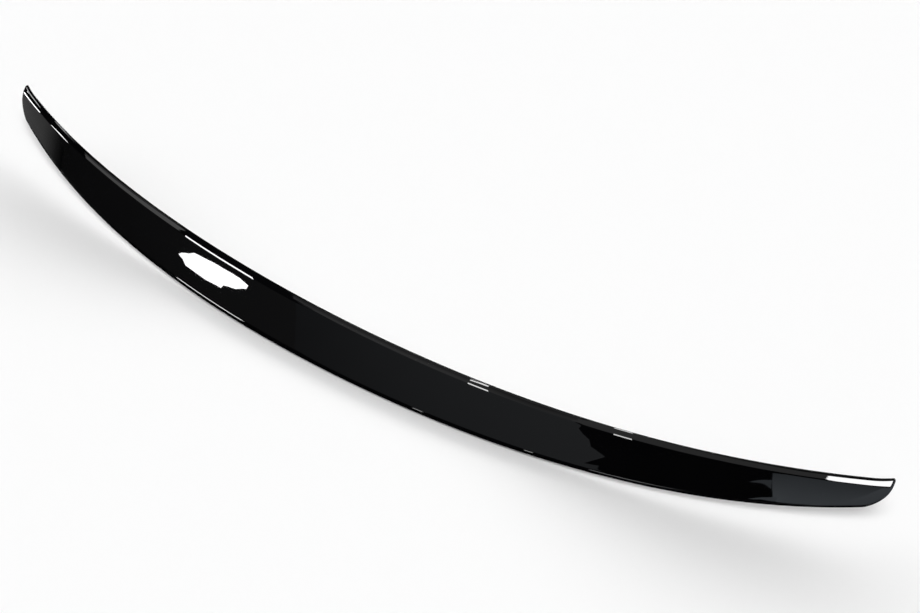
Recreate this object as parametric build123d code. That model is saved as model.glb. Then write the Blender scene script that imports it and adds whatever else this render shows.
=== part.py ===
"""Boot-lid lip spoiler: one moulded blade of gloss plastic, lying as it comes to rest.

The blade is a bowed, twisting strip with fully rounded edges. Its rear edge is the convex one and faces -Y.
A crease runs near its front edge, on the concave side, and the narrow band beyond it turns down.
The origin is under the middle of the blade, on the surface that it lies on.
All sizes are in millimetres.
"""
from build123d import *
import os
from math import acos, atan2, cos, degrees, hypot, radians, sin, tan

# Overall size
half_span = 574.0            # middle to tip, along X
wall = 6.5                   # thickness of the moulding, with fully rounded long edges

# Each guide curve is even about the middle: a part grows with the square of the share of the
# half span, and a part with its fourth power.

# Rear edge
rear_bow_square = 110.1      # bow along Y
rear_bow_fourth = 36.6
rear_rise_square = -15.8     # rise along Z
rear_rise_fourth = 11.4

# Front edge
chord_middle = 72.6          # rear edge to front edge at the middle, along Y
front_drop_middle = 12.2     # front edge below the rear edge at the middle
front_bow_square = 39.9
front_bow_fourth = 54.2
front_rise_square = 94.5
front_rise_fourth = -62.2

# Band between the crease and the front edge
band_width_middle = 14.8     # crease to front edge, across the band
band_width_square = -19.9
band_width_fourth = 13.1
band_turn = 18.0             # degrees that the band turns down from the line between the two edges

# Section
face_radius = 430.0          # radius that the broad face is crowned to
crease_radius = 5.0          # bend radius of the middle of the wall at the crease
bend_room = 0.9              # most of the shorter side of the crease that its bend may take up

# Tips
sweep_length = 21.8          # how far in from the tip the rear edge starts to sweep round
tip_face_share = 0.19        # what is left of the broad face at the end of a tip
tip_wall = 6.0               # thickness that the wall thins towards as the broad face narrows
tip_flare = 2.4              # how far the band widens past its front edge curve at a tip

# Stations of the loft between the middle and a tip
blade_stations = 7
sweep_stations = 5


def even_curve(share, square, fourth):
    """A curve that is level at the middle and the same on both sides."""
    return square * share ** 2 + fourth * share ** 4


def rear_point(x):
    """Rear edge at station x, as (y, z)."""
    share = x / half_span
    y = even_curve(share, rear_bow_square, rear_bow_fourth)
    z = even_curve(share, rear_rise_square, rear_rise_fourth)
    return y, z


def front_point(x):
    """Front edge at station x, as (y, z)."""
    share = x / half_span
    y = chord_middle + even_curve(share, front_bow_square, front_bow_fourth)
    z = -front_drop_middle + even_curve(share, front_rise_square, front_rise_fourth)
    return y, z


def crease_point(x):
    """Crease at station x, as (y, z), set back from the front edge by the band."""
    rear, front = rear_point(x), front_point(x)
    slope = atan2(front[1] - rear[1], front[0] - rear[0]) - radians(band_turn)
    width = band_width_middle + even_curve(x / half_span, band_width_square, band_width_fourth)
    return front[0] - width * cos(slope), front[1] - width * sin(slope)


def between(start, end, share):
    """The point at a share of the way from start to end."""
    return start[0] + (end[0] - start[0]) * share, start[1] + (end[1] - start[1]) * share


def toward(start, end, distance):
    """The point at a distance from start on the way to end."""
    return between(start, end, distance / hypot(end[0] - start[0], end[1] - start[1]))


def edge_radius(face_share):
    """Half the wall, thinner where only a share of the broad face is left."""
    return (tip_wall + (wall - tip_wall) * face_share) / 2


def edge_centres(x, face_share=1.0):
    """Centres of the rounded rear and front edges at station x. Near a tip the band flares out a little."""
    crease = crease_point(x)
    radius = edge_radius(face_share)
    flare = tip_flare * (1 - face_share ** 2)
    rear = between(crease, rear_point(x), face_share)
    return toward(rear, crease, radius), toward(front_point(x), crease, radius - flare)


def bend_radius(rear, crease, front):
    """Bend radius at the crease, limited by the wall that is left on its shorter side."""
    face = crease[0] - rear[0], crease[1] - rear[1]
    band = front[0] - crease[0], front[1] - crease[1]
    turn = atan2(face[1], face[0]) - atan2(band[1], band[0])
    return min(crease_radius, bend_room * min(hypot(*face), hypot(*band)) / tan(turn / 2))


def section(x, face_share=1.0):
    """Closed wall section at station x: a crowned broad face, a rounded crease and a flat band.

    Near a tip only a share of the broad face is left, next to the crease.
    """
    crease = crease_point(x)
    rear, front = edge_centres(x, face_share)
    slope = atan2(crease[1] - rear[1], crease[0] - rear[0])
    middle = between(rear, crease, 0.5)
    bulge = hypot(crease[0] - rear[0], crease[1] - rear[1]) ** 2 / (8 * face_radius)
    top = middle[0] - bulge * sin(slope), middle[1] + bulge * cos(slope)
    sharp_path = ThreePointArc(rear, top, crease) + Line(crease, front)
    corner = sharp_path.vertices().sort_by_distance(crease)[0]
    path = fillet(corner, bend_radius(rear, crease, front))
    plane = Plane(origin=(x, 0, 0), x_dir=(0, 1, 0), z_dir=(1, 0, 0))
    return plane * make_face(Wire(path.edges()).offset_2d(edge_radius(face_share)))


def half_blade():
    """The +X half. Its loft starts beyond the middle, so that the halves meet smoothly.

    Near the tip the broad face narrows on a quarter ellipse, which rounds the rear edge into it.
    """
    sweep_start = half_span - sweep_length
    spacing = sweep_start / blade_stations
    last_angle = acos(tip_face_share)
    sweep_axis = sweep_length / sin(last_angle)
    sections = [section(spacing * k) for k in range(-1, blade_stations + 1)]
    for k in range(1, sweep_stations + 1):
        angle = last_angle * k / sweep_stations
        sections.append(section(sweep_start + sweep_axis * sin(angle), cos(angle)))
    return split(loft(sections), Plane.YZ, keep=Keep.TOP)


half = half_blade()
blade = half + mirror(half, Plane.YZ)

# The blade rests on its two long edges at the middle, so their centres are set level.
rear_centre, front_centre = edge_centres(0.0)
rest_tilt = -degrees(atan2(front_centre[1] - rear_centre[1], front_centre[0] - rear_centre[0]))
blade = Rot(X=rest_tilt) * blade
box = blade.bounding_box()
blade = Pos(0, -box.center().Y, -box.min.Z) * blade

os.makedirs("parts", exist_ok=True)
export_step(blade, "parts/spoiler_blade.step")
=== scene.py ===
"""Looks of a boot-lid lip spoiler: one moulded blade of gloss-black ABS, lying on a pale studio floor.

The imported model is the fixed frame. The blade's skin is a surface worked out on a grid, from the same
guide curves as the solid that it stands for. It adds what the solid leaves plain: rounded ends, a slight
crown across the band and a fine bead along the front edge. The studio is a white floor, a soft key from
above, a low glow behind the blade, and the lamps and cards that a gloss black part shows as its highlights
and greys.
"""

import logging
from dataclasses import dataclass
from enum import Enum
from math import acos, asin, atan2, cos, pi, radians, sin

import bmesh
import bpy
import numpy as np
from mathutils import Matrix, Vector


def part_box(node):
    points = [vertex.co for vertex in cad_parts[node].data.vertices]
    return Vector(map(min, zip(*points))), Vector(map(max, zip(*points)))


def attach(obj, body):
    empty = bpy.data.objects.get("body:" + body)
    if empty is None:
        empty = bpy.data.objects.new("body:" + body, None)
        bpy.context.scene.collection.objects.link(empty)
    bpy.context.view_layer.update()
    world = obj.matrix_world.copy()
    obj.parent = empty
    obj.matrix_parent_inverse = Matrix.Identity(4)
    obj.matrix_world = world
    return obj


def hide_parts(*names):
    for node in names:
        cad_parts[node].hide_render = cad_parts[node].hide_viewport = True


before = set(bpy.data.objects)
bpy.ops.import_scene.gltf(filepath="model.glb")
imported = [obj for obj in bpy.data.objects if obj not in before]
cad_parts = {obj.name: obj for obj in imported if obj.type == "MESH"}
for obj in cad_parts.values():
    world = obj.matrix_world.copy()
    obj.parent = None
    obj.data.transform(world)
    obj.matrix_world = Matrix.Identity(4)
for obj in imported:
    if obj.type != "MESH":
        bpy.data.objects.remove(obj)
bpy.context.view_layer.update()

Array = np.ndarray
Point = tuple[float, float, float]
Rail = tuple[tuple[float, float], ...]
Links = dict[str | int, bpy.types.NodeSocket]
Values = dict[str | int, float | tuple[float, ...]]

MM = 0.001
MERGE_DISTANCE = 1e-6

log = logging.getLogger("lip_spoiler")


def linear_colour(code: str) -> tuple[float, ...]:
    """Turns an sRGB hex colour into linear light.

    Args:
        code: The colour as "#rrggbb".

    Returns:
        Red, green, blue and alpha, from 0 to 1.
    """
    share = np.array([int(code[i:i + 2], 16) for i in (1, 3, 5)]) / 255
    linear = np.where(share <= 0.04045, share / 12.92, ((share + 0.055) / 1.055) ** 2.4)
    return (*linear.tolist(), 1.0)


def add_node(
    tree: bpy.types.NodeTree,
    kind: str,
    settings: dict[str, str | bool] | None = None,
    values: Values | None = None,
    links: Links | None = None,
) -> bpy.types.Node:
    """Adds a node with its settings, socket values and incoming links.

    Args:
        tree: Node tree that the node goes into.
        kind: Blender's name for the kind of node.
        settings: Properties of the node itself.
        values: Constants, by input socket.
        links: Output sockets that feed this node, by input socket.

    Returns:
        The new node.
    """
    node = tree.nodes.new(kind)
    for name, setting in (settings or {}).items():
        setattr(node, name, setting)
    for socket, value in (values or {}).items():
        node.inputs[socket].default_value = value
    for socket, source in (links or {}).items():
        tree.links.new(source, node.inputs[socket])
    return node


def new_material(name: str) -> tuple[bpy.types.Material, bpy.types.NodeTree]:
    """Makes a material with an empty node tree.

    Args:
        name: Name of the material.

    Returns:
        The material and its node tree.
    """
    material = bpy.data.materials.new(name)
    material.use_nodes = True
    material.node_tree.nodes.clear()
    return material, material.node_tree


def grid_mesh(name: str, grid: Array, closed_across: bool, point_values: dict[str, Array]) -> bpy.types.Mesh:
    """Makes a mesh of a grid of points, with one quad between each four neighbours.

    Args:
        name: Name of the mesh.
        grid: Points in metres, as rows by columns by 3.
        closed_across: Whether each row's last point joins its first.
        point_values: Named values for each point, as rows by columns.

    Returns:
        The mesh, smooth, with points that coincide merged and its faces outward.
    """
    rows, columns = grid.shape[:2]
    index = np.arange(rows * columns).reshape(rows, columns)
    after = np.roll(index, -1, axis=1)
    last = columns if closed_across else columns - 1
    quads = np.stack([index[:-1], after[:-1], after[1:], index[1:]], axis=-1)[:, :last].reshape(-1, 4)
    mesh = bpy.data.meshes.new(name)
    mesh.from_pydata(grid.reshape(-1, 3), [], quads)
    for label, values in point_values.items():
        attribute = mesh.attributes.new(label, "FLOAT", "POINT")
        attribute.data.foreach_set("value", values.astype(np.float32).ravel())
    work = bmesh.new()
    work.from_mesh(mesh)
    bmesh.ops.remove_doubles(work, verts=work.verts, dist=MERGE_DISTANCE)
    if closed_across:
        bmesh.ops.recalc_face_normals(work, faces=work.faces)
    work.to_mesh(mesh)
    work.free()
    mesh.polygons.foreach_set("use_smooth", np.ones(len(mesh.polygons), bool))
    mesh.update()
    return mesh


def new_object(name: str, data: bpy.types.ID) -> bpy.types.Object:
    """Makes an object at the origin and links it to the scene."""
    piece = bpy.data.objects.new(name, data)
    bpy.context.scene.collection.objects.link(piece)
    return piece


def unit(vectors: Array) -> Array:
    """Vectors along the last axis, each at length 1."""
    return vectors / np.linalg.norm(vectors, axis=-1, keepdims=True)


def left_of(vectors: Array) -> Array:
    """Plane vectors turned a quarter turn to the left."""
    return np.stack([-vectors[..., 1], vectors[..., 0]], axis=-1)


def smooth_step(share: Array) -> Array:
    """Eases from 0 to 1 as share goes from 0 to 1, by 3 share**2 - 2 share**3."""
    inside = np.clip(share, 0.0, 1.0)
    return inside ** 2 * (3 - 2 * inside)


def ease_from_border(distance: Array, width: float) -> Array:
    """Light at a distance from a border: full at once for no width, else eased in over it."""
    return smooth_step(distance / width) if width else np.ones_like(distance)


@dataclass(frozen=True)
class EvenCurve:
    """A guide curve that is the same on both sides of the middle, in millimetres.

    Its value is middle + square * share**2 + fourth * share**4, with share the share of the half span.
    """

    middle: float
    square: float
    fourth: float

    def at(self, share: Array) -> Array:
        """Values at shares of the half span."""
        return self.middle + self.square * share ** 2 + self.fourth * share ** 4


@dataclass(frozen=True)
class GlossBlackAbs:
    """Injection-moulded ABS under a polished black lacquer. Lengths are in millimetres.

    What it gives the eye: a ground that is almost black, with mirror-like reflections on it. The wall sinks
    a little as it cools, so the edges of the reflections waver, and the lacquer has a faint orange peel. The
    underside is bare plastic off the mould, with a satin sheen.
    """

    ground: str = "#020203"
    ground_thin: str = "#050506"
    gloss_roughness: tuple[float, float] = (0.012, 0.024)
    satin_roughness: float = 0.36
    ior: float = 1.5
    sink_spacing: float = 30.0
    sink_height: float = 0.05
    peel_spacing: float = 2.6
    peel_height: float = 0.0004
    haze_spacing: float = 45.0

    def material(self) -> bpy.types.Material:
        """Makes the finish, on Object coordinates and the skin's own "lacquer" attribute.

        Returns:
            The material.
        """
        material, tree = new_material("gloss_black_abs_lacquered")
        place = add_node(tree, "ShaderNodeTexCoord").outputs["Object"]
        lacquer = add_node(tree, "ShaderNodeAttribute", {"attribute_name": "lacquer"}).outputs["Fac"]

        def noise(spacing: float, detail: float) -> bpy.types.NodeSocket:
            """Height of an even noise with features about as far apart as spacing."""
            values = {"Scale": 1 / (spacing * MM), "Detail": detail}
            texture = add_node(tree, "ShaderNodeTexNoise", values=values, links={"Vector": place})
            return texture.outputs["Fac"]

        haze = noise(self.haze_spacing, 3.0)
        ground = add_node(
            tree, "ShaderNodeMix", {"data_type": "RGBA"},
            {6: linear_colour(self.ground), 7: linear_colour(self.ground_thin)}, {0: haze},
        )
        gloss = add_node(
            tree, "ShaderNodeMapRange",
            values={"To Min": self.gloss_roughness[0], "To Max": self.gloss_roughness[1]},
            links={"Value": haze},
        )
        roughness = add_node(
            tree, "ShaderNodeMix", {"data_type": "FLOAT"},
            {2: self.satin_roughness}, {0: lacquer, 3: gloss.outputs["Result"]},
        )
        sink = add_node(
            tree, "ShaderNodeBump", values={"Strength": 1.0, "Distance": self.sink_height * MM},
            links={"Height": noise(self.sink_spacing, 1.0)},
        )
        peel = add_node(
            tree, "ShaderNodeBump", values={"Strength": 1.0, "Distance": self.peel_height * MM},
            links={"Height": noise(self.peel_spacing, 1.0), "Normal": sink.outputs["Normal"]},
        )
        shader = add_node(
            tree, "ShaderNodeBsdfPrincipled", values={"IOR": self.ior, "Metallic": 0.0},
            links={
                "Base Color": ground.outputs[2],
                "Roughness": roughness.outputs[0],
                "Normal": peel.outputs["Normal"],
            },
        )
        add_node(tree, "ShaderNodeOutputMaterial", links={"Surface": shader.outputs["BSDF"]})
        return material


@dataclass(frozen=True)
class WallPath:
    """The middle of the blade's wall at each station, from the rear edge to the front edge.

    Attributes:
        line: Points in the section plane, as stations by points by 2.
        heading: Unit tangents of the line.
        radius: Half the wall at each station.
        rounding: Share of the wall that is left at each station, below 1 only in the rounded ends.
        raised: Height of the band's crown and bead above the wall at each point.
    """

    line: Array
    heading: Array
    radius: Array
    rounding: Array
    raised: Array


@dataclass(frozen=True)
class SpoilerBlade:
    """The moulded blade: a bowed, twisting strip with a crease near its front edge and swept tips.

    Sizes are in millimetres and angles in degrees. The rear edge is the convex one and faces -Y.
    """

    node: str = "spoiler_blade"
    body: str = "root"
    slot: str = "gloss_black_abs"

    half_span: float = 574.0
    wall: float = 6.5
    rear_bow: EvenCurve = EvenCurve(0.0, 110.1, 36.6)
    rear_rise: EvenCurve = EvenCurve(0.0, -15.8, 11.4)
    front_bow: EvenCurve = EvenCurve(72.6, 39.9, 54.2)
    front_rise: EvenCurve = EvenCurve(-12.2, 94.5, -62.2)
    band_width: EvenCurve = EvenCurve(14.8, -19.9, 13.1)
    band_turn: float = 18.0
    face_radius: float = 430.0
    crease_radius: float = 5.0
    sweep_length: float = 21.8
    tip_face_share: float = 0.19
    tip_wall: float = 6.0
    tip_flare: float = 2.4
    tip_corner: float = 4.0
    bead_height: float = 0.2
    bead_width: float = 1.8
    band_crown: float = 0.1

    blade_stations: int = 184
    sweep_stations: int = 36
    end_stations: int = 12
    face_points: int = 30
    crease_points: int = 10
    band_points: int = 22
    nose_points: int = 12

    @property
    def sweep_axis(self) -> float:
        """Half axis along X of the quarter ellipse that narrows the broad face towards a tip."""
        return self.sweep_length / sin(acos(self.tip_face_share))

    @property
    def end_radius(self) -> float:
        """Radius that rounds the end of a tip: half the wall there."""
        return float(self.edge_radius(np.array(self.tip_face_share)))

    def edge_radius(self, face_share: Array) -> Array:
        """Half the wall, thinner where only a share of the broad face is left."""
        return (self.tip_wall + (self.wall - self.tip_wall) * face_share) / 2

    def stations(self) -> Array:
        """Places the sections along X: evenly on the blade, on the sweep's ellipse, and on the end's round.

        Returns:
            Stations from tip to tip.
        """
        sweep_start = self.half_span - self.sweep_length
        end_start = self.half_span - self.end_radius
        last_angle = asin((end_start - sweep_start) / self.sweep_axis)
        sweep_angles = np.linspace(0.0, last_angle, self.sweep_stations, endpoint=False)
        end_angles = np.linspace(0.0, pi / 2, self.end_stations)
        half = np.concatenate([
            np.linspace(0.0, sweep_start, self.blade_stations, endpoint=False),
            sweep_start + self.sweep_axis * np.sin(sweep_angles),
            end_start + self.end_radius * np.sin(end_angles),
        ])
        return np.concatenate([-half[:0:-1], half])

    def guides(self, x: Array) -> tuple[Array, Array, Array]:
        """Rear edge, crease and front edge at each station.

        The crease is set back from the front edge by the width of the band, on a line that turns down by
        band_turn from the line between the two edges.

        Args:
            x: Stations along X.

        Returns:
            Three arrays of (y, z) points.
        """
        share = x / self.half_span
        rear = np.stack([self.rear_bow.at(share), self.rear_rise.at(share)], axis=-1)
        front = np.stack([self.front_bow.at(share), self.front_rise.at(share)], axis=-1)
        across = front - rear
        slope = np.arctan2(across[:, 1], across[:, 0]) - radians(self.band_turn)
        along_band = np.stack([np.cos(slope), np.sin(slope)], axis=-1)
        return rear, front - self.band_width.at(share)[:, None] * along_band, front

    def wall_path(self, x: Array) -> WallPath:
        """Works out the middle of the wall: a crowned broad face, a rounded crease and a flat band.

        The face is a parabola over its chord, whose rise is chord**2 / (8 face_radius). The crease is a
        quadratic curve between points a tangent length from the corner, and the band is straight. On top of
        the band lie a crown, which is a parabola over its width, and a bead that eases up to the front edge.
        Near a tip the rear edge moves to the crease on a quarter ellipse, the wall thins with what is left of
        the face, and the band flares out a little before its corner rounds off on a quarter circle.

        Args:
            x: Stations along X.

        Returns:
            The path of the wall.
        """
        beyond_sweep = np.clip(np.abs(x) - (self.half_span - self.sweep_length), 0.0, None)
        face_share = np.sqrt(1 - (beyond_sweep / self.sweep_axis) ** 2)
        radius = self.edge_radius(face_share)
        into_end = np.clip(np.abs(x) - (self.half_span - self.end_radius), 0.0, None) / self.end_radius
        rounding = np.sqrt(np.clip(1 - into_end ** 2, 0.0, 1.0))

        into_corner = np.clip(np.abs(x) - (self.half_span - self.tip_corner), 0.0, None) / self.tip_corner
        corner_cut = self.tip_corner * (1 - np.sqrt(np.clip(1 - into_corner ** 2, 0.0, 1.0)))
        flare = self.tip_flare * (1 - face_share ** 2)

        rear, crease, front = self.guides(x)
        rear = crease + (rear - crease) * face_share[:, None]
        start = rear + unit(crease - rear) * radius[:, None]
        end = front + unit(crease - front) * (radius - flare + corner_cut)[:, None]

        chord = crease - start
        length = np.linalg.norm(chord, axis=-1)
        crown = 4 * length ** 2 / (8 * self.face_radius)
        upward = left_of(chord) / length[:, None]
        band_heading = unit(end - crease)
        face_end_heading = unit(chord - upward * crown[:, None])
        bend = np.arccos(np.clip((face_end_heading * band_heading).sum(axis=-1), -1.0, 1.0))
        tangent_length = self.crease_radius * np.tan(bend / 2)

        face_end = 1 - tangent_length / length
        t = (face_end[:, None] * np.linspace(0.0, 1.0, self.face_points))[..., None]
        face = start[:, None] + chord[:, None] * t + upward[:, None] * crown[:, None, None] * t * (1 - t)
        face_heading = unit(chord[:, None] + upward[:, None] * crown[:, None, None] * (1 - 2 * t))

        leave, leave_heading = face[:, -1], face_heading[:, -1]
        join = crease + band_heading * tangent_length[:, None]
        to_corner = (left_of(band_heading) * (join - leave)).sum(axis=-1)
        to_corner /= (left_of(band_heading) * leave_heading).sum(axis=-1)
        corner = leave + leave_heading * to_corner[:, None]
        v = np.linspace(0.0, 1.0, self.crease_points + 2)[None, 1:-1, None]
        bend_line = (1 - v) ** 2 * leave[:, None] + 2 * v * (1 - v) * corner[:, None]
        bend_line += v ** 2 * join[:, None]
        bend_heading = unit((1 - v) * (corner - leave)[:, None] + v * (join - corner)[:, None])

        w = np.sin(np.linspace(0.0, pi / 2, self.band_points))[None, :, None]
        band = join[:, None] + (end - join)[:, None] * w
        from_edge = np.linalg.norm(end[:, None] - band, axis=-1)
        raised_band = self.bead_height * smooth_step(1 - from_edge / self.bead_width)
        raised_band += self.band_crown * 4 * w[..., 0] * (1 - w[..., 0])
        plain_face = np.zeros((len(x), self.face_points + self.crease_points))
        band_headings = np.repeat(band_heading[:, None], self.band_points, axis=1)
        return WallPath(
            line=np.concatenate([face, bend_line, band], axis=1),
            heading=np.concatenate([face_heading, bend_heading, band_headings], axis=1),
            radius=radius,
            rounding=rounding,
            raised=np.concatenate([plain_face, raised_band], axis=1),
        )

    def skin(self, x: Array) -> tuple[Array, Array]:
        """Wraps the wall path in a closed skin: the top, the front nose, the underside and the rear nose.

        Top and underside are offsets of the path by half the wall, the top with the crown and bead on it.
        Each nose is half a circle round an end of the path, and the front one eases from the bead to the
        plain wall.

        Args:
            x: Stations along X.

        Returns:
            Points as stations by loop points by 3, and how far the lacquer covers each, from 0 to 1.
        """
        path = self.wall_path(x)
        normal = left_of(path.heading)
        half_wall = (path.radius * path.rounding)[:, None]
        raised = path.raised * path.rounding[:, None]
        top = path.line + normal * (half_wall + raised)[..., None]
        underside = path.line - normal * half_wall[..., None]

        angle = np.linspace(0.0, pi, self.nose_points + 2)[None, 1:-1]
        lean, reach = np.cos(angle)[..., None], np.sin(angle)[..., None]
        front_radius = half_wall + raised[:, -1:] * (1 + np.cos(angle)) / 2
        front_out = lean * normal[:, -1:] + reach * path.heading[:, -1:]
        front_nose = path.line[:, -1:] + front_radius[..., None] * front_out
        rear_out = -lean * normal[:, :1] - reach * path.heading[:, :1]
        rear_nose = path.line[:, :1] + half_wall[..., None] * rear_out

        loop = np.concatenate([top, front_nose, underside[:, ::-1], rear_nose], axis=1)
        along = np.broadcast_to(x[:, None, None], (*loop.shape[:2], 1))
        round_front = smooth_step(2 * (1 - angle[0] / pi))
        covered = np.concatenate([
            np.ones(top.shape[1]), round_front, np.zeros(underside.shape[1]), round_front[::-1],
        ])
        return np.concatenate([along, loop], axis=-1), np.broadcast_to(covered, loop.shape[:2])

    def laid_down(self, skin: Array) -> Array:
        """Lays the skin where the CAD node lies, with the line between its two edges level at the middle.

        Args:
            skin: Points in millimetres, in the frame of the guide curves.

        Returns:
            Points in metres, in the row frame.
        """
        middle = self.wall_path(np.zeros(1)).line[0]
        rise = middle[-1] - middle[0]
        tilt = -atan2(rise[1], rise[0])
        turned = skin.copy()
        turned[..., 1] = cos(tilt) * skin[..., 1] - sin(tilt) * skin[..., 2]
        turned[..., 2] = sin(tilt) * skin[..., 1] + cos(tilt) * skin[..., 2]
        node_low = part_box(self.node)[0]
        placed = turned * MM
        placed[..., 1] += node_low.y - placed[..., 1].min()
        placed[..., 2] += node_low.z - placed[..., 2].min()
        return placed

    def build(self, finish: GlossBlackAbs) -> bpy.types.Object:
        """Makes the blade's skin, dresses it and lets it stand for the CAD node.

        Args:
            finish: The finish of the blade.

        Returns:
            The finished piece.
        """
        skin, lacquer = self.skin(self.stations())
        mesh = grid_mesh("blade_skin", self.laid_down(skin), True, {"lacquer": lacquer})
        mesh.materials.append(finish.material())
        piece = new_object("blade_skin", mesh)
        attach(piece, self.body)
        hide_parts(self.node)
        return piece


class Board(Enum):
    """Which way a card stands, as the axis that is square to it."""

    ACROSS_X = 0
    ACROSS_Y = 1
    LEVEL = 2


@dataclass(frozen=True)
class ReflectionCard:
    """A lit card that the gloss shows as a highlight or a grey. Places are in metres.

    The card is cut to the outline between two rails with as many points each, given by the two coordinates
    in its own plane. Only reflections see it, and one with no radiance is a black flag.

    Attributes:
        name: Name of the card.
        board: Which way the card stands.
        offset: Where its plane is, along the axis that is square to it.
        first_rail: One long border.
        second_rail: The other long border.
        radiance: How bright it is.
        colour: Colour of its light.
        glow: Shares of the radiance at the start and end of the first rail and of the second.
        ease_out: Share of its length over which the light eases off towards the end of the rails.
        segment_rows: Rows of faces between two points of a rail.
        columns: Points across the card.
    """

    name: str
    board: Board
    offset: float
    first_rail: Rail
    second_rail: Rail
    radiance: float
    colour: str = "#ffffff"
    glow: tuple[float, float, float, float] = (1.0, 1.0, 1.0, 1.0)
    ease_out: float = 0.0
    segment_rows: int = 8
    columns: int = 17

    def surface(self) -> Array:
        """Works out the card's points, straight along each rail and straight from rail to rail.

        Returns:
            Points, as rows along the card by columns across it by 3.
        """
        rails = np.array([self.first_rail, self.second_rail])
        place = np.linspace(0.0, rails.shape[1] - 1, (rails.shape[1] - 1) * self.segment_rows + 1)
        before = np.minimum(place.astype(int), rails.shape[1] - 2)
        rest = (place - before)[:, None]
        first, second = rails[:, before] * (1 - rest) + rails[:, before + 1] * rest
        across = np.linspace(0.0, 1.0, self.columns)[None, :, None]
        flat = first[:, None] * (1 - across) + second[:, None] * across
        return np.insert(flat, self.board.value, self.offset, axis=-1)

    def brightness(self, rows: int) -> Array:
        """Works out how bright the card is: straight between its corners, and eased off at its end.

        Args:
            rows: Number of rows along the card.

        Returns:
            Shares of the radiance, as rows by columns.
        """
        along = np.linspace(0.0, 1.0, rows)[:, None]
        across = np.linspace(0.0, 1.0, self.columns)[None]
        first_start, first_end, second_start, second_end = self.glow
        first = first_start * (1 - along) + first_end * along
        second = second_start * (1 - along) + second_end * along
        return (first * (1 - across) + second * across) * ease_from_border(1 - along, self.ease_out)

    def material(self) -> bpy.types.Material:
        """Diffusing cloth lit from behind, which gives a soft glow that can ease off towards one end.

        Returns:
            The material, whose strength follows the card's "glow" attribute.
        """
        material, tree = new_material(f"lit_cloth_{self.name}")
        glow = add_node(tree, "ShaderNodeAttribute", {"attribute_name": "glow"})
        strength = add_node(
            tree, "ShaderNodeMath", {"operation": "MULTIPLY"}, {1: self.radiance}, {0: glow.outputs["Fac"]}
        )
        light = add_node(
            tree, "ShaderNodeEmission", values={"Color": linear_colour(self.colour)},
            links={"Strength": strength.outputs[0]},
        )
        add_node(tree, "ShaderNodeOutputMaterial", links={"Surface": light.outputs[0]})
        return material

    def build(self) -> bpy.types.Object:
        """Makes the card and hides it from all but reflections.

        Returns:
            The card.
        """
        grid = self.surface()
        mesh = grid_mesh(self.name, grid, False, {"glow": self.brightness(len(grid))})
        mesh.materials.append(self.material())
        panel = new_object(self.name, mesh)
        panel.visible_camera = False
        panel.visible_diffuse = False
        panel.visible_transmission = False
        panel.visible_shadow = False
        return panel


@dataclass(frozen=True)
class SoftKey:
    """A broad, soft light from afar that lights a white floor to a level. Angles are in degrees.

    Azimuth is measured from +Y towards +X. The gloss doesn't show the light itself.
    """

    name: str
    azimuth: float
    elevation: float
    spread: float
    level: float

    def build(self) -> bpy.types.Object:
        """Makes the light, with its energy set for a disc of its spread.

        Returns:
            The light.
        """
        azimuth, elevation, spread = radians(self.azimuth), radians(self.elevation), radians(self.spread)
        light = bpy.data.lights.new(self.name, "SUN")
        light.angle = spread
        light.energy = self.level * pi / (sin(elevation) * cos(spread / 4) ** 2)
        key = new_object(self.name, light)
        toward = Vector((sin(azimuth) * cos(elevation), cos(azimuth) * cos(elevation), sin(elevation)))
        key.rotation_mode = "QUATERNION"
        key.rotation_quaternion = toward.to_track_quat("Z", "Y")
        key.visible_glossy = False
        return key


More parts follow.
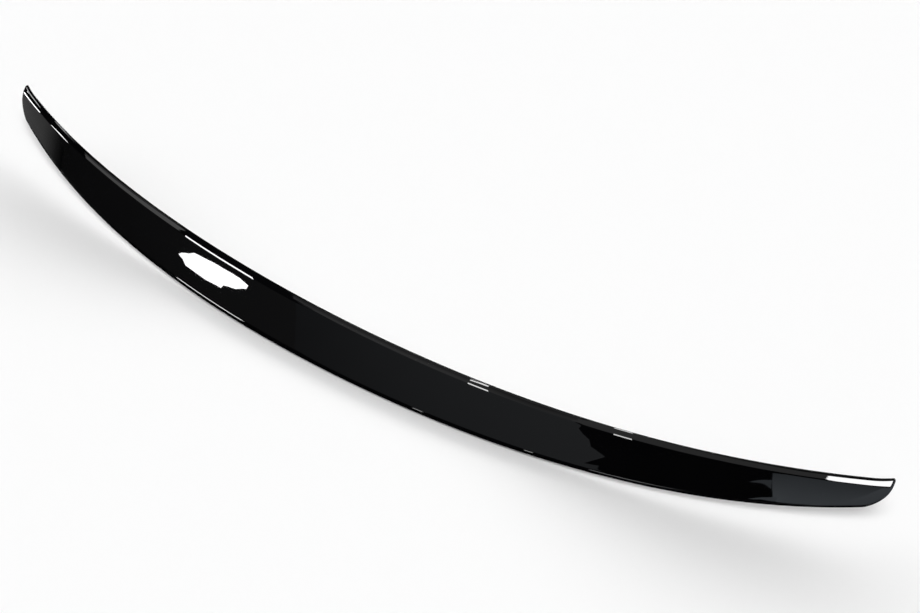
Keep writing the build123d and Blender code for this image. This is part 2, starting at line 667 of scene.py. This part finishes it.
@dataclass(frozen=True)
class Studio:
    """The white floor, the soft key, the surroundings and the cards.

    A low, wide glow behind the blade lays a soft shadow along its near edge, and the key lays one under its
    tips.

    Attributes:
        floor_reach: How far the floor goes from the origin along X and Y, in metres.
        floor_colour: Colour of the floor.
        key: The light from above.
        surround_colour: Colour of the surroundings.
        surround_level: How bright they are to matt surfaces.
        glow_radiance: How bright the glow is at its fullest.
        glow_azimuth: Where the glow is, in degrees from +Y towards +X.
        glow_sides: How far a direction points to the glow where the glow starts and where it is full.
        glow_heights: Rise of a direction where the glow starts, is full and ends.
        dark_room: How bright the surroundings are to gloss.
    """

    floor_reach: float = 8.0
    floor_colour: str = "#fafafa"
    key: SoftKey = SoftKey("top_key", 155.0, 78.0, 44.0, 0.45)
    surround_colour: str = "#ffffff"
    surround_level: float = 0.12
    glow_radiance: float = 13.6
    glow_azimuth: float = -25.0
    glow_sides: tuple[float, float] = (-0.1, 0.5)
    glow_heights: tuple[float, float, float] = (0.1, 0.19, 0.42)
    dark_room: float = 0.0096

    def build_floor(self) -> bpy.types.Object:
        """Makes the floor: matt white board, which keeps the blade's shadow.

        Returns:
            The floor.
        """
        reach = self.floor_reach
        grid = np.array([
            [(-reach, -reach, 0.0), (reach, -reach, 0.0)],
            [(-reach, reach, 0.0), (reach, reach, 0.0)],
        ])
        material, tree = new_material("matt_white_board")
        board = add_node(tree, "ShaderNodeBsdfDiffuse", values={"Color": linear_colour(self.floor_colour)})
        add_node(tree, "ShaderNodeOutputMaterial", links={"Surface": board.outputs[0]})
        mesh = grid_mesh("studio_floor", grid, False, {})
        mesh.materials.append(material)
        floor = new_object("studio_floor", mesh)
        return floor

    def low_glow(self, tree: bpy.types.NodeTree) -> bpy.types.NodeSocket:
        """Adds the glow: a band of directions above the horizon, eased in and out, on the far side only.

        Args:
            tree: Node tree of the world.

        Returns:
            The radiance of the glow.
        """
        start, full, end = self.glow_heights
        azimuth = radians(self.glow_azimuth)

        def ease(
            source: bpy.types.NodeSocket, low: float, high: float, first: float, last: float,
        ) -> bpy.types.NodeSocket:
            """Eases from first to last as the source goes from low to high."""
            values = {"From Min": low, "From Max": high, "To Min": first, "To Max": last}
            settings = {"interpolation_type": "SMOOTHSTEP"}
            node = add_node(tree, "ShaderNodeMapRange", settings, values, {"Value": source})
            return node.outputs["Result"]

        def product(one: bpy.types.NodeSocket, other: bpy.types.NodeSocket) -> bpy.types.NodeSocket:
            """Multiplies two values."""
            node = add_node(tree, "ShaderNodeMath", {"operation": "MULTIPLY"}, links={0: one, 1: other})
            return node.outputs[0]

        direction = add_node(tree, "ShaderNodeTexCoord").outputs["Generated"]
        behind = add_node(
            tree, "ShaderNodeVectorMath", {"operation": "DOT_PRODUCT"},
            {1: (sin(azimuth), cos(azimuth), 0.0)}, {0: direction},
        )
        height = add_node(tree, "ShaderNodeSeparateXYZ", links={0: direction}).outputs["Z"]
        far_side = ease(behind.outputs["Value"], *self.glow_sides, 0.0, 1.0)
        above_horizon = product(far_side, ease(height, start, full, 0.0, 1.0))
        return product(above_horizon, ease(height, full, end, self.glow_radiance, 0.0))

    def build_surroundings(self) -> bpy.types.World:
        """Makes the world: white to the camera, soft light to matt surfaces, and a dark room to gloss.

        Returns:
            The world.
        """
        world = bpy.data.worlds.new("studio")
        world.use_nodes = True
        tree = world.node_tree
        tree.nodes.clear()
        rays = add_node(tree, "ShaderNodeLightPath").outputs
        soft = add_node(
            tree, "ShaderNodeMath", {"operation": "ADD"}, {1: self.surround_level}, {0: self.low_glow(tree)},
        )
        to_gloss = add_node(
            tree, "ShaderNodeMix", {"data_type": "FLOAT"}, {3: self.dark_room},
            {0: rays["Is Glossy Ray"], 2: soft.outputs[0]},
        )
        clear = add_node(
            tree, "ShaderNodeMath", {"operation": "MAXIMUM"},
            links={0: rays["Is Camera Ray"], 1: rays["Is Transmission Ray"]},
        )
        level = add_node(
            tree, "ShaderNodeMix", {"data_type": "FLOAT"}, {3: 1.0},
            {0: clear.outputs[0], 2: to_gloss.outputs[0]},
        )
        sky = add_node(
            tree, "ShaderNodeBackground", values={"Color": linear_colour(self.surround_colour)},
            links={"Strength": level.outputs[0]},
        )
        add_node(tree, "ShaderNodeOutputWorld", links={"Surface": sky.outputs[0]})
        bpy.context.scene.world = world
        return world

    def lamps(self) -> list[ReflectionCard]:
        """Lists the lamps and windows that the blade shows as white lines and patches.

        Returns:
            The lamps, each cut to the outline of its highlight.
        """
        card, level, across_x, across_y = ReflectionCard, Board.LEVEL, Board.ACROSS_X, Board.ACROSS_Y
        return [
            card(
                "window", level, 0.2,
                ((-0.352, -0.041), (-0.348, -0.037), (-0.344, -0.033), (-0.329, -0.021), (-0.319, -0.011),
                 (-0.300, 0.002), (-0.287, 0.011), (-0.275, 0.019), (-0.248, 0.036), (-0.236, 0.039)),
                ((-0.349, -0.041), (-0.344, -0.040), (-0.340, -0.043), (-0.322, -0.035), (-0.300, -0.025),
                 (-0.282, -0.015), (-0.276, -0.012), (-0.272, -0.004), (-0.253, 0.011), (-0.238, 0.030)),
                30.0,
            ),
            card(
                "crease_strip", level, 0.06,
                ((-0.2795, -0.007), (-0.258, -0.007), (-0.228, -0.006), (-0.200, -0.003), (-0.1815, -0.001)),
                ((-0.2810, 0.010), (-0.2605, 0.012), (-0.232, 0.017), (-0.206, 0.025), (-0.1880, 0.025)),
                25.0,
            ),
            card(
                "rear_edge_strip", level, 0.5,
                ((-0.598, -0.240), (-0.506, -0.238), (-0.453, -0.262), (-0.423, -0.260)),
                ((-0.763, -0.500), (-0.663, -0.560), (-0.563, -0.580), (-0.463, -0.360)), 20.0,
            ),
            card(
                "left_lamp_low", across_x, -0.65,
                ((0.054, 0.036), (0.030, 0.040), (0.002, 0.046)),
                ((0.052, 0.057), (0.031, 0.060), (0.003, 0.074)), 25.0,
            ),
            card(
                "left_lamp_edge", across_x, -0.65,
                ((0.060, 0.082), (0.048, 0.085), (0.025, 0.094), (0.014, 0.097)),
                ((0.075, 0.108), (0.066, 0.110), (0.049, 0.126), (0.033, 0.124)), 9.0,
            ),
            card(
                "left_lamp_high", across_x, -0.9,
                ((-0.158, 0.135), (-0.200, 0.160), (-0.247, 0.200)),
                ((-0.152, 0.165), (-0.178, 0.284), (-0.235, 0.250)), 25.0,
            ),
            card(
                "left_rim_lamp", across_x, -0.65,
                ((0.110, 0.283), (0.370, 0.247)), ((0.110, 0.370), (0.460, 0.262)), 5.0,
            ),
            card(
                "back_lamp", level, 0.03,
                ((0.111, -0.009), (0.137, -0.009)), ((0.106, 0.010), (0.131, 0.010)), 14.0,
            ),
            card(
                "back_lamp_edge", level, 0.03,
                ((0.098, 0.0370), (0.110, 0.0365), (0.122, 0.0335)),
                ((0.096, 0.0460), (0.108, 0.0460), (0.119, 0.0460)), 10.0,
            ),
            card(
                "middle_lamp", level, 0.045,
                ((0.2849, -0.008), (0.3066, -0.008)), ((0.2831, 0.000), (0.3048, -0.001)), 14.0,
            ),
            card(
                "middle_lamp_edge", level, 0.045,
                ((0.278, 0.018), (0.300, 0.018)), ((0.267, 0.05), (0.289, 0.05)), 14.0,
            ),
            card(
                "rear_lamp_1", across_y, -0.5,
                ((-0.028, 0.28), (-0.008, 0.28)), ((-0.056, 0.45), (-0.032, 0.45)), 10.0,
            ),
            card(
                "rear_lamp_2", across_y, -0.5,
                ((0.207, 0.26), (0.225, 0.26)), ((0.196, 0.42), (0.213, 0.42)), 10.0,
            ),
            card(
                "rear_lamp_3", across_y, -0.5,
                ((0.345, 0.28), (0.430, 0.28), (0.600, 0.29)),
                ((0.335, 0.37), (0.425, 0.37), (0.595, 0.33)), 8.0, ease_out=0.6,
            ),
            card(
                "right_tip_window", level, 0.2,
                ((0.586, -0.064), (0.604, -0.054), (0.630, -0.035), (0.700, 0.000), (0.820, 0.000)),
                ((0.600, -0.100), (0.665, -0.200), (0.740, -0.280), (0.850, -0.330), (0.950, -0.360)), 25.0,
            ),
        ]

    def grey_cards(self) -> list[ReflectionCard]:
        """Lists the dim cards that give the blade its greys, and the flag that keeps the rest black.

        Returns:
            The cards.
        """
        card, level, across_x, across_y = ReflectionCard, Board.LEVEL, Board.ACROSS_X, Board.ACROSS_Y
        return [
            card(
                "left_band_card", level, 0.205,
                ((-0.570, -0.045), (-0.497, -0.018), (-0.459, 0.000), (-0.392, 0.040), (-0.346, 0.090)),
                ((-0.555, -0.005), (-0.478, 0.030), (-0.440, 0.045), (-0.383, 0.095), (-0.340, 0.140)), 1.3,
            ),
            card(
                "right_band_card", level, 0.205,
                ((0.186, 0.085), (0.268, 0.035), (0.330, -0.005), (0.392, -0.035), (0.470, -0.085),
                 (0.560, -0.125), (0.640, -0.140)),
                ((0.140, 0.215), (0.240, 0.125), (0.300, 0.100), (0.362, 0.065), (0.425, 0.045),
                 (0.500, 0.015), (0.570, 0.030)),
                0.5, glow=(0.85, 1.0, 0.85, 1.0),
            ),
            card(
                "middle_card", level, 0.21,
                ((-0.200, 0.260), (-0.183, 0.105), (-0.175, 0.070), (-0.168, 0.035), (-0.160, 0.000),
                 (-0.153, -0.035), (-0.145, -0.075), (-0.138, -0.115), (-0.130, -0.160)),
                ((0.150, 0.170), (0.198, 0.000), (0.213, -0.017), (0.226, -0.030), (0.240, -0.049),
                 (0.272, -0.077), (0.262, -0.091), (0.282, -0.099), (0.300, -0.130)),
                0.34, "#eef3f8", glow=(0.38, 0.38, 1.0, 1.0),
            ),
            card(
                "right_card", across_y, -0.35,
                ((0.588, 0.275), (0.700, 0.200), (0.830, 0.110), (0.960, 0.030), (1.100, -0.020)),
                ((0.679, 0.135), (0.740, 0.060), (0.850, -0.020), (0.980, -0.090), (1.100, -0.140)),
                1.15, "#e4eef8", glow=(0.45, 0.4, 1.0, 1.0),
            ),
            card(
                "right_card_tongue_1", across_y, -0.349,
                ((0.613, 0.235), (0.594, 0.250), (0.574, 0.264)),
                ((0.642, 0.189), (0.611, 0.225), (0.574, 0.263)), 0.6, "#e4eef8",
            ),
            card(
                "right_card_tongue_2", across_y, -0.349,
                ((0.680, 0.140), (0.626, 0.178)), ((0.690, 0.120), (0.626, 0.177)), 0.9, "#e4eef8",
            ),
            card(
                "left_tip_card", across_x, -0.66,
                ((0.090, 0.0), (-0.090, 0.0)), ((0.090, 0.050), (-0.090, 0.070)), 0.45, ease_out=0.4,
            ),
            card(
                "right_floor_card", level, 0.0007,
                ((0.64, -0.36), (1.10, -0.36)), ((0.64, 0.20), (1.10, 0.20)), 1.1, "#e4eef8",
                glow=(0.8, 1.0, 0.8, 1.0),
            ),
            card(
                "left_floor_card", level, 0.0007,
                ((-0.60, 0.25), (-0.80, 0.25)), ((-0.60, -0.04), (-0.80, -0.04)), 0.42,
            ),
            card(
                "middle_band_card", across_y, 0.5,
                ((-0.287, 0.161), (-0.232, 0.115), (-0.179, 0.095), (-0.129, 0.104), (-0.084, 0.130),
                 (-0.045, 0.185), (-0.016, 0.280), (0.045, 0.430)),
                ((-0.300, 0.251), (-0.247, 0.205), (-0.195, 0.185), (-0.147, 0.194), (-0.105, 0.222),
                 (-0.070, 0.285), (-0.055, 0.390), (-0.035, 0.560)),
                0.4, glow=(0.0, 0.3, 0.85, 1.0),
            ),
            card(
                "back_card", across_y, 1.6,
                ((-0.67, 0.0), (2.0, 0.0)), ((-0.67, 2.2), (2.0, 2.2)), 0.45, glow=(0.65, 0.65, 1.0, 1.0),
            ),
            card(
                "left_face_card", level, 0.55,
                ((-9.00, -3.90), (-1.90, -0.75), (-1.00, -0.33), (-0.60, -0.05), (-0.42, 0.18),
                 (-0.30, 0.40), (-0.15, 0.55)),
                ((-9.00, -5.00), (-2.30, -1.30), (-1.30, -0.70), (-0.78, -0.36), (-0.58, -0.14),
                 (-0.42, -0.03), (-0.30, -0.10)),
                0.095, glow=(0.35, 1.0, 0.35, 1.0),
            ),
            card(
                "black_flag", level, 0.0006,
                ((-0.60, -0.9), (0.64, -0.9)), ((-0.60, 0.6), (0.64, 0.6)), 0.0,
            ),
        ]


@dataclass(frozen=True)
class StudioCamera:
    """The camera, in the place that the picture was taken from, in millimetres and degrees."""

    lens: float = 62.61
    sensor: float = 36.0
    azimuth: float = 24.597
    elevation: float = 46.336
    roll: float = 6.328
    target: Point = (48.89, 87.86, 0.0)
    distance: float = 1864.85

    def build(self) -> bpy.types.Object:
        """Makes the camera and sets it as the scene's own.

        Returns:
            The camera.
        """
        azimuth, elevation, roll = radians(self.azimuth), radians(self.elevation), radians(self.roll)
        back = Vector((sin(azimuth) * cos(elevation), -cos(azimuth) * cos(elevation), sin(elevation)))
        level = Vector((cos(azimuth), sin(azimuth), 0.0))
        right = level * cos(roll) + back.cross(level) * sin(roll)
        data = bpy.data.cameras.new("studio_camera")
        data.lens = self.lens
        data.sensor_width = self.sensor
        camera = new_object("studio_camera", data)
        turn = Matrix((right, back.cross(right), back)).transposed().to_4x4()
        camera.matrix_world = Matrix.Translation((Vector(self.target) + back * self.distance) * MM) @ turn
        bpy.context.scene.camera = camera
        return camera


def main() -> None:
    """Builds the blade, the studio and the camera in order, and reports each piece."""
    logging.basicConfig(level=logging.INFO, format="%(name)s: %(message)s")
    bpy.context.scene.view_settings.view_transform = "Standard"
    piece = SpoilerBlade().build(GlossBlackAbs())
    log.info("%s has %d faces", piece.name, len(piece.data.polygons))
    studio = Studio()
    lights = (studio.key, *studio.lamps(), *studio.grey_cards())
    stands = [studio.build_floor(), *(light.build() for light in lights)]
    studio.build_surroundings()
    log.info("studio: %s", ", ".join(stand.name for stand in stands))
    camera = StudioCamera().build()
    log.info("%s at %s", camera.name, [round(value, 3) for value in camera.matrix_world.translation])


if __name__ == "__main__":
    main()
